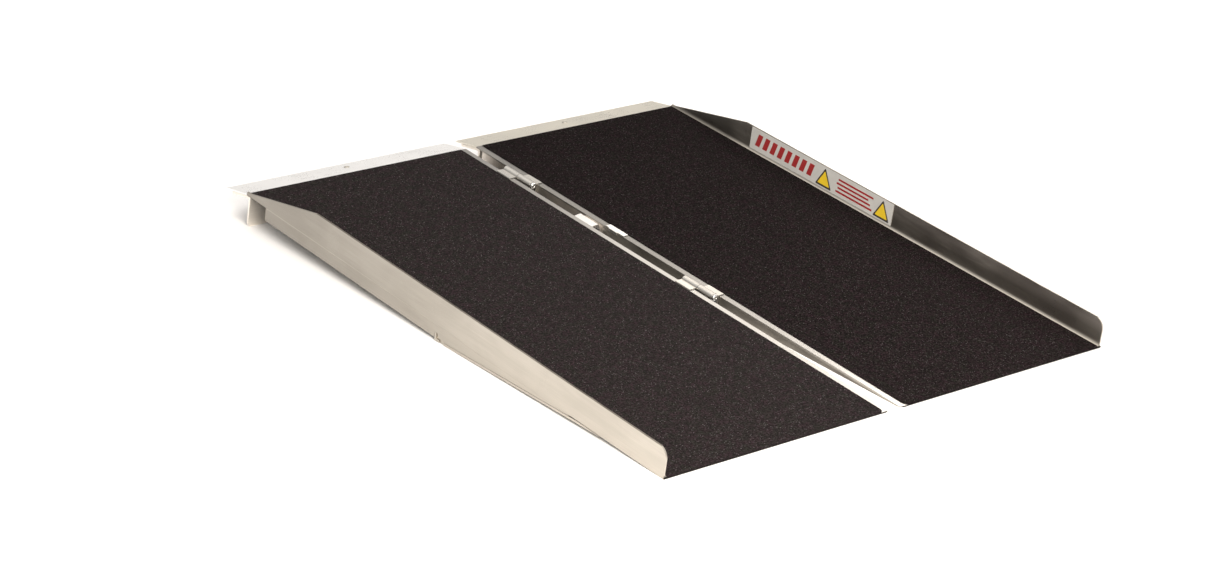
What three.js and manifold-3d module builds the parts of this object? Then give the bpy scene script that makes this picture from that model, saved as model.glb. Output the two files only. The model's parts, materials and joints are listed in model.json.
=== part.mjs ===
// A portable wheelchair ramp that folds once along its middle, opened out and lying on the floor.
//
// Lengths are in millimetres, +Z is up, +Y runs from the low end up to the landing end, and +X is the
// right-hand side when looking up the ramp. Each half is one bent aluminium sheet with a curb on its
// outside edge and a web turned down beside the fold. Two pinned hinges join the webs, and the right
// half swings up and over until the curbs meet, deck to deck.
//
// The pieces are drawn in the ramp's own frame: x = 0 on the fold line, y = 0 at the low end and z = 0
// on top of the deck sheets. The group is tilted at the end, so that the low edge and the feet of the
// two risers stand on one level floor, with the origin in the middle of the footprint.

import * as THREE from 'three';
import { mergeVertices } from 'three/addons/utils/BufferGeometryUtils.js';
import Module from 'manifold-3d';

// ---- driving dimensions ----------------------------------------------------------------------------

const DECK_SHEET = 2; // thickness of the deck panels and the lips
const SHEET = 3.2; // thickness of the rails, risers and members under them
const CLEARANCE = 0.3; // between pieces that touch
const BEND = { inside: 2.4, outside: 0.8 }; // radii of the corners of the decks, rails and risers
const CURB_BEND = { inside: 6, outside: 0.8 }; // and of the corner between a deck and its curb
const STRAP_BEND = { inside: 0.6, outside: 2 }; // and of the straps in the gap
const BEND_STEPS = 5; // flats that make up one bend

const HALF_WIDTH = 381; // fold line to the outside of a curb
const DECK_LENGTH = 864; // low edge to the start of the lip
const GAP_HALF = 9; // fold line to the face of a web
const WEB_DEPTH = 25; // full depth of a web below the deck top
const WEB_TAPER_START = 12; // from here a web grows deeper along the floor, up to its full depth
const WEB_END = 849; // the webs stop short of the riser
const LOW_EDGE = { thickness: 0.8, chamfer: 8 }; // the deck is planed thin underneath at the low edge
const CURB_HEIGHT = 38;
const CURB_START = 1.8; // the curb starts this far behind the low edge
const CURB_FOOT = 1; // and this far above the deck
const CURB_CORNER = 15; // rounding of the curb at the low end
const CURB_BEVEL = { from: 705, to: 858, height: 3 }; // the curb slopes down to the lip
const DECK_CORNER = 8; // rounding of the deck's inner corner at the low end

const TAPE = { inner: 18.6, outer: 376, inset: 0.3, thickness: 0.6, corner: 9, smallCorner: 2.5 };
const TAPE_BEND_END = 320; // how far its section follows the curb's bend before it is cut, in degrees

const RAIL_WIDTH = 25; // flanges of the side rail, and the strip
const RAIL_BOTTOM = -20.2;
const RAIL_END = 819; // the rail stops short of the riser
const TAPER_START = 176; // the rail's web tapers away towards the low end
const TAPER_END = 423;
const TAPER_TOP = -2.8; // lower edge of the web at TAPER_START
const TAPER_LOW = -19.2; // and at TAPER_END
const NOTCH = { from: 423.7, corner: 437.5, to: 442.5, top: -12.4, low: -16.5 }; // lets the cross member out
const STRIP = { start: 118, merge: 161, end: 423, gap: 0.5, tip: 0.8 };

const CROSS = { face: 442, leg: 10, bottom: -23.2, cope: -12.8, bend: { inside: 1, outside: 1 } };

const RISER = { face: 859, bottom: -45.2, leg: 35, corner: 5, inner: 9.6 };

const LIP_ANGLE = THREE.MathUtils.degToRad(12.5);
const LIP = { length: 51.5, inner: 10.3, corner: 2.5, topBevel: 3, landingBevel: 7.5, rivetAt: 29 };
const LIP_EDGE = { top: 0.7, bottom: 1.2 }; // depths of the narrow front edge that the bevels leave

const RIB = { x: 195, from: 446, to: 847, depth: 19, foot: 22 }; // stiffener under the middle of a deck

const HINGE_STARTS = [341, 724]; // low end of each hinge
const KNUCKLE = { length: 29.4, outer: 5.3, bore: 3.2, split: 0.6, legDepth: 18 };
const BARREL_END = 338; // where the barrel's round runs into the leg, in degrees
const LEAF = { top: 1.4, reach: 17 }; // the part of a knuckle that lies on the deck beside the tape
const LEG_THICKNESS = 2.5;
const PIN = { radius: 2.9, head: 4.7, headHeight: 3.1, beyond: 1.9, chamfer: 0.6 };
const PUSH_NUT = { outer: 4.9, inner: 3.25, thickness: 1.1, rim: 0.4 };
const WEB_RIVET = { radius: 1.9, hole: 2.2, head: 3.4, headHeight: 1.3, depth: 12.5 };
const LIP_RIVET = { radius: 2.4, hole: 2.7, head: 4.2, headHeight: 1.4 };

const STOP = { from: 583, to: 621, leftLow: -17, rightLow: -13, slantFrom: 1.8, slantTo: -8, rivetInset: 9 };
const STOP_TOP = { left: -1.4, right: -0.3 }; // middle of the strap's thickness at the top
const PAD = { from: 538, to: 575, tabFrom: 551, tabTo: 568, reach: 17.6, low: -3.3, thickness: 0.9 };

const LABEL = { from: 396, to: 691, low: 6.4, high: 37.4, thickness: 0.25, corner: 1.5 };

const ROUND_STEPS = 24; // flats round a barrel or a pin
const RIVET_STEPS = 14; // flats round a rivet
const HOLE_STEPS = 16; // flats round a rivet's hole
const DOME_STEPS = 3; // flats from the edge to the top of a rivet's head
const PAST = 5; // how far a cutting tool runs past the piece it cuts

// ---- materials -------------------------------------------------------------------------------------

const FINISHES = {
  aluminium: { color: 0xcdc6b9, roughness: 0.42, metalness: 0.9 },
  plate: { color: 0xd6d3cd, roughness: 0.35, metalness: 0.9 },
  steel: { color: 0xbdbdbb, roughness: 0.28, metalness: 1 },
  grit: { color: 0x2f2b2b, roughness: 0.95, metalness: 0 },
  label: { color: 0xc9c8c4, roughness: 0.5, metalness: 0 },
};

// ---- solids ----------------------------------------------------------------------------------------

const wasm = await Module();
wasm.setup();

function solidOf(geometry) {
  const bare = geometry.clone();
  bare.deleteAttribute('normal');
  bare.deleteAttribute('uv');
  const merged = mergeVertices(bare, 1e-4);
  const mesh = new wasm.Mesh({
    numProp: 3,
    vertProperties: new Float32Array(merged.attributes.position.array),
    triVerts: new Uint32Array(merged.index.array),
  });
  return new wasm.Manifold(mesh);
}

function geometryOf(solid) {
  const mesh = solid.getMesh();
  const geometry = new THREE.BufferGeometry();
  geometry.setAttribute('position', new THREE.BufferAttribute(mesh.vertProperties, 3));
  geometry.setIndex(new THREE.BufferAttribute(mesh.triVerts, 1));
  geometry.computeVertexNormals();
  return geometry;
}

const cut = (solid, ...tools) => tools.reduce((left, tool) => left.subtract(tool), solid);

const point = (u, v) => new THREE.Vector2(u, v);

const X_AXIS = new THREE.Vector3(1, 0, 0);
const Y_AXIS = new THREE.Vector3(0, 1, 0);
const Z_AXIS = new THREE.Vector3(0, 0, 1);

// An outline drawn in two directions and pushed along the third one, from low to high.
function prism(outline, low, high, across, up, along) {
  const geometry = new THREE.ExtrudeGeometry(new THREE.Shape(outline), {
    depth: high - low,
    bevelEnabled: false,
  });
  geometry.translate(0, 0, low);
  geometry.applyMatrix4(new THREE.Matrix4().makeBasis(across, up, along));
  return solidOf(geometry);
}

// Outline points are (x, z), (y, z) and (x, y) in turn.
const alongY = (outline, low, high) =>
  prism(outline, -high, -low, X_AXIS, Z_AXIS, Y_AXIS.clone().negate());
const alongX = (outline, low, high) => prism(outline, low, high, Y_AXIS, Z_AXIS, X_AXIS);
const alongZ = (outline, low, high) => prism(outline, low, high, X_AXIS, Y_AXIS, Z_AXIS);

const boxOutline = (u0, v0, u1, v1) => [point(u0, v0), point(u1, v0), point(u1, v1), point(u0, v1)];

// Sides are -1 on the left and +1 on the right, so a range of x is put in order here.
function acrossRange(side, nearFold, farFromFold) {
  const ends = [side * nearFold, side * farFromFold];
  return [Math.min(...ends), Math.max(...ends)];
}

const onSide = (side, outline) => outline.map((p) => point(side * p.x, p.y));

function arc(centre, radius, fromDegrees, toDegrees, steps) {
  return Array.from({ length: steps + 1 }, (_, i) => {
    const angle = THREE.MathUtils.degToRad(fromDegrees + ((toDegrees - fromDegrees) * i) / steps);
    return point(centre.x + radius * Math.cos(angle), centre.y + radius * Math.sin(angle));
  });
}

// A rectangle with its own rounding on each corner, in the order low-low, high-low, high-high, low-high.
function roundedOutline(u0, v0, u1, v1, radii) {
  const corners = [
    [u0, v0, 1, 1, 180],
    [u1, v0, -1, 1, 270],
    [u1, v1, -1, -1, 0],
    [u0, v1, 1, -1, 90],
  ];
  return corners.flatMap(([u, v, inwardU, inwardV, start], i) => {
    const radius = radii[i];
    const centre = point(u + inwardU * radius, v + inwardV * radius);
    return arc(centre, radius, start, start + 90, BEND_STEPS);
  });
}

// The corner of an outline, rounded off.
function roundedCorner(before, corner, after, radius) {
  const toBefore = before.clone().sub(corner).normalize();
  const toAfter = after.clone().sub(corner).normalize();
  const halfAngle = Math.acos(toBefore.dot(toAfter)) / 2;
  const towardsCentre = toBefore.clone().add(toAfter).normalize();
  const centre = corner.clone().addScaledVector(towardsCentre, radius / Math.sin(halfAngle));
  const spoke = corner.clone().addScaledVector(toBefore, radius / Math.tan(halfAngle)).sub(centre);
  const turn = Math.sign(toAfter.cross(toBefore)) * (Math.PI - 2 * halfAngle);
  return Array.from({ length: BEND_STEPS + 1 }, (_, i) =>
    spoke.clone().rotateAround(point(0, 0), (turn * i) / BEND_STEPS).add(centre),
  );
}

// The outline of a bent sheet: it follows a mid-line and is rounded inside and outside each bend. Each
// bend can have its own radii, in a list that starts at the mid-line's second point.
function sheetOutline(midline, bend = BEND, thickness = SHEET) {
  const bends = Array.isArray(bend) ? bend : Array(midline.length - 2).fill(bend);
  const heading = (i) => midline[i + 1].clone().sub(midline[i]).normalize();
  const lastHeading = midline.length - 2;
  const mitre = (i) => {
    const before = heading(Math.max(i - 1, 0));
    const after = heading(Math.min(i, lastHeading));
    const middle = before.clone().add(after).normalize();
    const reach = thickness / 2 / middle.dot(after);
    return { offset: point(-middle.y, middle.x).multiplyScalar(reach), turn: before.cross(after) };
  };
  const mitres = midline.map((_, i) => mitre(i));
  const edge = (side) => {
    const corners = midline.map((p, i) => p.clone().addScaledVector(mitres[i].offset, side));
    return corners.flatMap((corner, i) => {
      if (i === 0 || i === midline.length - 1) {
        return [corner];
      }
      const { inside, outside } = bends[i - 1];
      const radius = mitres[i].turn * side > 0 ? inside : outside;
      return roundedCorner(corners[i - 1], corner, corners[i + 1], radius);
    });
  };
  return [...edge(1), ...edge(-1).reverse()];
}

// A round piece on an axis along Y: each profile point is (radius, distance along the axis).
const turned = (profile, steps = ROUND_STEPS) => new THREE.LatheGeometry(profile, steps);

// The drill for a rivet through a web and the leg beside it, short enough to leave the far leg alone.
const drillAlongX = (x, y) =>
  solidOf(
    new THREE.CylinderGeometry(WEB_RIVET.hole, WEB_RIVET.hole, 4 * SHEET, HOLE_STEPS)
      .rotateZ(Math.PI / 2)
      .translate(x, y, -WEB_RIVET.depth),
  );

// ---- shared positions ------------------------------------------------------------------------------

const underDeck = -DECK_SHEET - CLEARANCE; // top of whatever is fastened under a deck
const floorRun = RISER.face - SHEET - LOW_EDGE.chamfer; // between the two lines that touch the floor
const floorSlope = (-RISER.bottom - DECK_SHEET) / floorRun; // of the floor, below the deck

// The centre of the bend between a deck and its curb, as (x, z) on the right half.
const curbBend = point(HALF_WIDTH - DECK_SHEET - CURB_BEND.inside, CURB_BEND.inside);

const hinges = HINGE_STARTS.map((start, i) => {
  const end = start + 2 * KNUCKLE.length + KNUCKLE.split;
  return {
    name: ['lower', 'upper'][i],
    start,
    end,
    right: [start, start + KNUCKLE.length],
    left: [end - KNUCKLE.length, end],
  };
});

// Rivets through a web sit at a quarter and three quarters of each knuckle's leg.
const legRivets = ([from, to]) => [0.25, 0.75].map((share) => from + share * (to - from));
const stopRivets = [STOP.from + STOP.rivetInset, STOP.to - STOP.rivetInset];

// A point on the lip: how far down the slope it is, and how deep below its top face.
const onLip = (down, depth) =>
  point(
    DECK_LENGTH + down * Math.cos(LIP_ANGLE) - depth * Math.sin(LIP_ANGLE),
    -down * Math.sin(LIP_ANGLE) - depth * Math.cos(LIP_ANGLE),
  );

// ---- pieces of one half ----------------------------------------------------------------------------

// The deck: curb, deck and web are one sheet, then the curb's ends, the web's taper and holes are cut.
function deckPanel(side) {
  const half = DECK_SHEET / 2;
  const midline = [
    point(HALF_WIDTH - half, CURB_HEIGHT),
    point(HALF_WIDTH - half, -half),
    point(GAP_HALF + half, -half),
    point(GAP_HALF + half, -WEB_DEPTH),
  ];
  const section = sheetOutline(midline, [CURB_BEND, BEND], DECK_SHEET);
  const blank = alongY(onSide(side, section), 0, DECK_LENGTH);
  const curbRange = acrossRange(side, curbBend.x, HALF_WIDTH + PAST);
  const lowEnd = [
    point(-PAST, CURB_FOOT),
    point(CURB_START, CURB_FOOT),
    ...arc(
      point(CURB_START + CURB_CORNER, CURB_HEIGHT - CURB_CORNER),
      CURB_CORNER,
      180,
      90,
      2 * BEND_STEPS,
    ),
    point(CURB_START + CURB_CORNER, CURB_HEIGHT + PAST),
    point(-PAST, CURB_HEIGHT + PAST),
  ];
  const highEnd = [
    point(CURB_BEVEL.from, CURB_HEIGHT),
    point(CURB_BEVEL.to, CURB_BEVEL.height),
    point(DECK_LENGTH + PAST, CURB_BEVEL.height),
    point(DECK_LENGTH + PAST, CURB_HEIGHT + PAST),
    point(CURB_BEVEL.from, CURB_HEIGHT + PAST),
  ];
  const webRange = acrossRange(side, GAP_HALF - PAST, GAP_HALF + DECK_SHEET + BEND.inside);
  const taperEnd = (WEB_DEPTH - DECK_SHEET) / floorSlope + WEB_TAPER_START;
  const belowTaper = [
    point(-PAST, -DECK_SHEET),
    point(WEB_TAPER_START, -DECK_SHEET),
    point(taperEnd, -WEB_DEPTH),
    point(taperEnd, -WEB_DEPTH - PAST),
    point(-PAST, -WEB_DEPTH - PAST),
  ];
  const pastWebEnd = boxOutline(WEB_END, -WEB_DEPTH - PAST, DECK_LENGTH + PAST, -DECK_SHEET);
  const underLowEdge = [
    point(-PAST, -LOW_EDGE.thickness),
    point(0, -LOW_EDGE.thickness),
    point(LOW_EDGE.chamfer, -DECK_SHEET),
    point(LOW_EDGE.chamfer, -DECK_SHEET - PAST),
    point(-PAST, -DECK_SHEET - PAST),
  ];
  const corner = point(side * (GAP_HALF + DECK_CORNER), DECK_CORNER);
  const cornerScrap = [
    point(side * (GAP_HALF - PAST), -PAST),
    point(side * (GAP_HALF + DECK_CORNER), -PAST),
    ...arc(corner, DECK_CORNER, 270, side > 0 ? 180 : 360, BEND_STEPS),
    point(side * (GAP_HALF - PAST), DECK_CORNER),
  ];
  const rivets = [
    ...hinges.flatMap((hinge) => legRivets(side < 0 ? hinge.left : hinge.right)),
    ...(side < 0 ? stopRivets : []),
  ];
  return geometryOf(
    cut(
      blank,
      alongX(lowEnd, ...curbRange),
      alongX(highEnd, ...curbRange),
      alongX(belowTaper, ...webRange),
      alongX(pastWebEnd, ...webRange),
      alongX(underLowEdge, ...acrossRange(side, GAP_HALF - PAST, HALF_WIDTH + PAST)),
      alongZ(cornerScrap, -2 * SHEET, SHEET),
      ...rivets.map((y) => drillAlongX(side * GAP_HALF, y)),
    ),
  );
}

// The tread: a sheet of grit tape that runs a little way up the bend into the curb. It has rounded
// corners, the largest at the low end beside the fold.
function gritTape(side) {
  const radii = [TAPE.corner, TAPE.smallCorner, TAPE.smallCorner, TAPE.smallCorner];
  const outline = roundedOutline(
    TAPE.inner,
    TAPE.inset,
    TAPE.outer,
    DECK_LENGTH - TAPE.inset,
    radii,
  );
  const face = (height) => [
    point(0, height),
    ...arc(curbBend, CURB_BEND.inside - height, 270, TAPE_BEND_END, BEND_STEPS),
  ];
  const section = [...face(CLEARANCE), ...face(CLEARANCE + TAPE.thickness).reverse()];
  const blank = alongY(onSide(side, section), 0, DECK_LENGTH);
  return geometryOf(blank.intersect(alongZ(onSide(side, outline), 0, CURB_BEND.inside)));
}

// The lower edge of the rail's web where it tapers.
const taperLine = (y) => THREE.MathUtils.mapLinear(y, TAPER_START, TAPER_END, TAPER_TOP, TAPER_LOW);

// The side rail: a channel below the curb. Its web is cut to a long taper towards the low end, and
// notched where the cross member comes through.
function sideRail(side) {
  const half = SHEET / 2;
  const outerX = HALF_WIDTH - half;
  const innerX = HALF_WIDTH - RAIL_WIDTH;
  const section = sheetOutline([
    point(innerX, underDeck - half),
    point(outerX, underDeck - half),
    point(outerX, RAIL_BOTTOM + half),
    point(innerX, RAIL_BOTTOM + half),
  ]);
  const blank = alongY(onSide(side, section), TAPER_START, RAIL_END);
  const belowTaper = [
    point(TAPER_START - PAST, taperLine(TAPER_START)),
    point(TAPER_START, taperLine(TAPER_START)),
    point(TAPER_END, taperLine(TAPER_END)),
    point(NOTCH.from, NOTCH.low),
    point(NOTCH.corner, NOTCH.top),
    point(NOTCH.to, NOTCH.top),
    point(NOTCH.to, RAIL_BOTTOM - PAST),
    point(TAPER_START - PAST, RAIL_BOTTOM - PAST),
  ];
  const range = acrossRange(side, innerX - PAST, HALF_WIDTH + PAST);
  return geometryOf(cut(blank, alongX(belowTaper, ...range)));
}

// The strip: the rail's lower flange, bent up to follow the taper until it meets the deck.
function taperStrip(side) {
  const top = (y) => taperLine(y) - STRIP.gap;
  const flatTop = underDeck;
  const outline = [
    point(STRIP.end, top(STRIP.end)),
    point(STRIP.merge, flatTop),
    point(STRIP.start, flatTop),
    point(STRIP.start, flatTop - STRIP.tip),
    point(STRIP.merge, flatTop - SHEET),
    point(STRIP.end, top(STRIP.end) - SHEET),
  ];
  return geometryOf(alongX(outline, ...acrossRange(side, HALF_WIDTH - RAIL_WIDTH, HALF_WIDTH)));
}

// The cross member: an angle under the middle of the deck. Its outer end is cut lower and comes out
// through the notch in the side rail.
function crossMember(side) {
  const half = SHEET / 2;
  const midline = [
    point(CROSS.face - half, underDeck),
    point(CROSS.face - half, CROSS.bottom + half),
    point(CROSS.face - CROSS.leg, CROSS.bottom + half),
  ];
  const section = sheetOutline(midline, CROSS.bend);
  const inner = GAP_HALF + DECK_SHEET + BEND.inside + CLEARANCE;
  const bar = alongX(section, ...acrossRange(side, inner, HALF_WIDTH));
  const cope = boxOutline(CROSS.face - CROSS.leg - PAST, CROSS.cope, CROSS.face + PAST, 0);
  const copeRange = acrossRange(side, HALF_WIDTH - RAIL_WIDTH - CLEARANCE, HALF_WIDTH + PAST);
  return geometryOf(cut(bar, alongX(cope, ...copeRange)));
}

// The riser: it holds the landing end up. Its top leg runs under the deck's end and then under the lip.
function riser(side) {
  const half = SHEET / 2;
  const middle = RISER.face - half;
  const legDepth = DECK_SHEET + CLEARANCE + half;
  const kink = DECK_LENGTH - legDepth * Math.tan(LIP_ANGLE / 2);
  const section = sheetOutline([
    point(middle, RISER.bottom),
    point(middle, -legDepth),
    point(kink, -legDepth),
    onLip(RISER.leg, legDepth),
  ]);
  const bar = alongX(section, ...acrossRange(side, RISER.inner, HALF_WIDTH));
  const centre = point(side * (HALF_WIDTH - RISER.corner), RISER.bottom + RISER.corner);
  const cornerScrap = [
    ...arc(centre, RISER.corner, 270, side > 0 ? 360 : 180, BEND_STEPS),
    point(side * (HALF_WIDTH + PAST), RISER.bottom + RISER.corner),
    point(side * (HALF_WIDTH + PAST), RISER.bottom - PAST),
    point(side * (HALF_WIDTH - RISER.corner), RISER.bottom - PAST),
  ];
  const scrap = alongY(cornerScrap, RISER.face - 2 * SHEET, RISER.face + SHEET);
  return geometryOf(cut(bar, scrap, lipDrill(side)));
}

const lipRivetPlace = (side) => {
  const middle = onLip(LIP.rivetAt, 0);
  return new THREE.Matrix4()
    .makeTranslation((side * (HALF_WIDTH + LIP.inner)) / 2, middle.x, middle.y)
    .multiply(new THREE.Matrix4().makeRotationX(Math.PI / 2 - LIP_ANGLE));
};

function lipDrill(side) {
  const drill = new THREE.CylinderGeometry(LIP_RIVET.hole, LIP_RIVET.hole, 8 * SHEET, HOLE_STEPS);
  return solidOf(drill.applyMatrix4(lipRivetPlace(side)));
}

// The lip: a plate that slopes down onto the landing, bevelled on top of its front edge and underneath.
function lipPlate(side) {
  const back = DECK_LENGTH + CLEARANCE;
  const slope = Math.tan(LIP_ANGLE);
  const section = [
    point(back, -CLEARANCE * slope),
    point(back, -CLEARANCE * slope - DECK_SHEET / Math.cos(LIP_ANGLE)),
    onLip(LIP.length - LIP.landingBevel, DECK_SHEET),
    onLip(LIP.length, LIP_EDGE.bottom),
    onLip(LIP.length, LIP_EDGE.top),
    onLip(LIP.length - LIP.topBevel, 0),
  ];
  const plate = alongX(section, ...acrossRange(side, LIP.inner, HALF_WIDTH));
  const tip = onLip(LIP.length, 0).x;
  const scraps = [LIP.inner, HALF_WIDTH].map((x) => {
    const inward = x === LIP.inner ? 1 : -1;
    const centre = point(side * (x + inward * LIP.corner), tip - LIP.corner);
    const towardsEdge = side * inward > 0 ? 180 : 0;
    const scrap = [
      ...arc(centre, LIP.corner, 90, towardsEdge, BEND_STEPS),
      point(side * (x - inward * PAST), tip - LIP.corner),
      point(side * (x - inward * PAST), tip + PAST),
      point(side * (x + inward * LIP.corner), tip + PAST),
    ];
    return alongZ(scrap, -LIP.length, SHEET);
  });
  return geometryOf(cut(plate, ...scraps, lipDrill(side)));
}

// A round-headed rivet on the Y axis. It goes through pieces between the two distances it is given.
function rivetProfile(size, from, to) {
  const dome = (base, direction) =>
    Array.from({ length: DOME_STEPS + 1 }, (_, i) => {
      const angle = ((Math.PI / 2) * i) / DOME_STEPS;
      return point(size.head * Math.cos(angle), base + direction * size.headHeight * Math.sin(angle));
    });
  const nearHead = dome(from, -1).reverse();
  const farHead = dome(to, 1);
  nearHead[0].x = 0;
  farHead[DOME_STEPS].x = 0;
  return [...nearHead, point(size.radius, from), point(size.radius, to), ...farHead];
}

function lipRivet(side) {
  const lastSheet = DECK_SHEET + SHEET + 2 * CLEARANCE;
  const geometry = turned(rivetProfile(LIP_RIVET, -CLEARANCE / 2, lastSheet), RIVET_STEPS);
  return geometry.applyMatrix4(lipRivetPlace(side).multiply(new THREE.Matrix4().makeRotationX(Math.PI)));
}

// The rib: an angle along the middle of a deck's underside, between the cross member and the riser.
function rib(side) {
  const half = SHEET / 2;
  const section = sheetOutline([
    point(RIB.x + RIB.foot, underDeck - half),
    point(RIB.x, underDeck - half),
    point(RIB.x, -RIB.depth),
  ]);
  return geometryOf(alongY(onSide(side, section), RIB.from, RIB.to));
}

// ---- hinges and stops ------------------------------------------------------------------------------

// A knuckle: a barrel round the pin, a thin leaf on the edge of the deck, and a leg down the web.
function knuckle(side, [from, to]) {
  const legOuter = GAP_HALF - CLEARANCE;
  const legInner = legOuter - LEG_THICKNESS;
  const barrelStart = THREE.MathUtils.radToDeg(Math.asin(LEAF.top / KNUCKLE.outer));
  const outline = [
    ...arc(point(0, 0), KNUCKLE.outer, barrelStart, BARREL_END, ROUND_STEPS - 2),
    point(legInner, -KNUCKLE.outer),
    point(legInner, -KNUCKLE.legDepth),
    point(legOuter, -KNUCKLE.legDepth),
    point(legOuter, CLEARANCE),
    point(LEAF.reach, CLEARANCE),
    point(LEAF.reach, LEAF.top - CLEARANCE),
    point(LEAF.reach - CLEARANCE, LEAF.top),
  ];
  const bore = arc(point(0, 0), KNUCKLE.bore, 0, 360 - 360 / ROUND_STEPS, ROUND_STEPS - 1);
  return geometryOf(
    cut(
      alongY(onSide(side, outline), from, to),
      alongY(bore, from - PAST, to + PAST),
      ...legRivets([from, to]).map((y) => drillAlongX(side * GAP_HALF, y)),
    ),
  );
}

// The pin lies in both knuckles, with its domed head at the low end.
function hingePin(hinge) {
  const headFrom = hinge.start - CLEARANCE - PIN.headHeight;
  const shoulder = hinge.start - CLEARANCE;
  const tip = hinge.end + PIN.beyond;
  return turned([
    point(0, headFrom),
    point(0.62 * PIN.head, headFrom),
    point(0.9 * PIN.head, headFrom + 0.2 * PIN.headHeight),
    point(PIN.head, headFrom + PIN.headHeight / 2),
    point(PIN.head, shoulder),
    point(PIN.radius, shoulder),
    point(PIN.radius, tip - PIN.chamfer),
    point(PIN.radius - PIN.chamfer, tip),
    point(0, tip),
  ]);
}

// The push-on nut that keeps the pin in, a thin ring at its far end.
function pushNut(hinge) {
  const from = hinge.end + CLEARANCE;
  const to = from + PUSH_NUT.thickness;
  return turned([
    point(PUSH_NUT.inner, from),
    point(PUSH_NUT.outer, from),
    point(PUSH_NUT.outer, from + PUSH_NUT.rim),
    point(PUSH_NUT.inner + PUSH_NUT.rim, to),
    point(PUSH_NUT.inner, to),
    point(PUSH_NUT.inner, from),
  ]);
}

// A rivet through a hinge leg, or the stop's leg, and the web behind it.
function webRivet(side, y) {
  const nearFace = GAP_HALF - CLEARANCE - LEG_THICKNESS - CLEARANCE / 2;
  const farFace = GAP_HALF + DECK_SHEET + CLEARANCE / 2;
  const geometry = turned(rivetProfile(WEB_RIVET, nearFace, farFace), RIVET_STEPS);
  return geometry.rotateZ((-side * Math.PI) / 2).translate(0, y, -WEB_RIVET.depth);
}

// The stop bracket: a bent strap on the left web. The right web comes to rest against its other leg.
function stopBracket() {
  const legX = GAP_HALF - CLEARANCE - LEG_THICKNESS / 2;
  const midline = [
    point(-legX, STOP.leftLow),
    point(-legX, STOP_TOP.left),
    point(STOP.slantFrom, STOP_TOP.right),
    point(legX, STOP.slantTo),
    point(legX, STOP.rightLow),
  ];
  const strap = sheetOutline(midline, STRAP_BEND, LEG_THICKNESS);
  const holes = stopRivets.map((y) => drillAlongX(-GAP_HALF, y));
  return geometryOf(cut(alongY(strap, STOP.from, STOP.to), ...holes));
}

// The edge pad: a thin plate on the edge of the right deck, with a tab folded down over the web.
function edgePad() {
  const half = PAD.thickness / 2;
  const foldX = GAP_HALF - CLEARANCE - half;
  const midline = [
    point(PAD.reach, CLEARANCE + half),
    point(foldX, CLEARANCE + half),
    point(foldX, PAD.low),
  ];
  const bend = { inside: CLEARANCE, outside: PAD.thickness };
  const strip = alongY(sheetOutline(midline, bend, PAD.thickness), PAD.from, PAD.to);
  const besideTab = [
    [PAD.from - PAST, PAD.tabFrom],
    [PAD.tabTo, PAD.to + PAST],
  ].map(([low, high]) => alongY(boxOutline(0, PAD.low - PAST, GAP_HALF, PAST), low, high));
  return geometryOf(cut(strip, ...besideTab));
}

// The label on the inside of the right curb.
function curbLabel() {
  const face = HALF_WIDTH - DECK_SHEET - CLEARANCE;
  const radii = Array(4).fill(LABEL.corner);
  const outline = roundedOutline(LABEL.from, LABEL.low, LABEL.to, LABEL.high, radii);
  return geometryOf(alongX(outline, face - LABEL.thickness, face));
}

// ---- assembly --------------------------------------------------------------------------------------

function place(parent, name, geometry, finish) {
  const mesh = new THREE.Mesh(geometry, new THREE.MeshStandardMaterial(FINISHES[finish]));
  mesh.name = name;
  parent.add(mesh);
}

function buildHalf(side) {
  const word = side < 0 ? 'left' : 'right';
  const half = new THREE.Group();
  place(half, `${word}_deck_panel`, deckPanel(side), 'aluminium');
  place(half, `${word}_grit_tape`, gritTape(side), 'grit');
  place(half, `${word}_side_rail`, sideRail(side), 'aluminium');
  place(half, `${word}_taper_strip`, taperStrip(side), 'aluminium');
  place(half, `${word}_cross_member`, crossMember(side), 'aluminium');
  place(half, `${word}_rib`, rib(side), 'aluminium');
  place(half, `${word}_riser`, riser(side), 'aluminium');
  place(half, `${word}_lip_plate`, lipPlate(side), 'plate');
  place(half, `${word}_lip_rivet`, lipRivet(side), 'steel');
  for (const hinge of hinges) {
    const range = hinge[word];
    place(half, `${hinge.name}_hinge_${word}_knuckle`, knuckle(side, range), 'plate');
    legRivets(range).forEach((y, i) => {
      place(half, `${hinge.name}_hinge_${word}_rivet_${i + 1}`, webRivet(side, y), 'steel');
    });
  }
  return half;
}

const leftHalf = buildHalf(-1);
const rightHalf = buildHalf(1);

for (const hinge of hinges) {
  place(leftHalf, `${hinge.name}_hinge_pin`, hingePin(hinge), 'steel');
  place(leftHalf, `${hinge.name}_hinge_push_nut`, pushNut(hinge), 'steel');
}
place(leftHalf, 'stop_bracket', stopBracket(), 'plate');
stopRivets.forEach((y, i) => {
  place(leftHalf, `stop_bracket_rivet_${i + 1}`, webRivet(-1, y), 'steel');
});
place(rightHalf, 'edge_pad', edgePad(), 'plate');
place(rightHalf, 'curb_label', curbLabel(), 'label');

const ramp = new THREE.Group();
ramp.add(leftHalf, rightHalf);
ramp.rotation.x = Math.atan(floorSlope);
ramp.updateMatrixWorld(true);
const bounds = new THREE.Box3().setFromObject(ramp, true);
ramp.position.y = -(bounds.min.y + bounds.max.y) / 2;
ramp.position.z = -bounds.min.z;

export default ramp;
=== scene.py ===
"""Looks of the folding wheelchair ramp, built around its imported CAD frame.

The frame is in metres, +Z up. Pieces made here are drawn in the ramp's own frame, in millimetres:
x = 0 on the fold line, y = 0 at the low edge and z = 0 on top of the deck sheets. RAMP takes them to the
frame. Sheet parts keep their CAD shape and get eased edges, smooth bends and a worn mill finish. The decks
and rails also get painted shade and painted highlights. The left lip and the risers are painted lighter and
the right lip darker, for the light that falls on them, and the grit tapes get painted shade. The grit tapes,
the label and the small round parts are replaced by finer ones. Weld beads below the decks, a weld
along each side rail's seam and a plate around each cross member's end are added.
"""

import json
import math
import random

import bmesh
import bpy
from mathutils import Matrix, Vector


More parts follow.
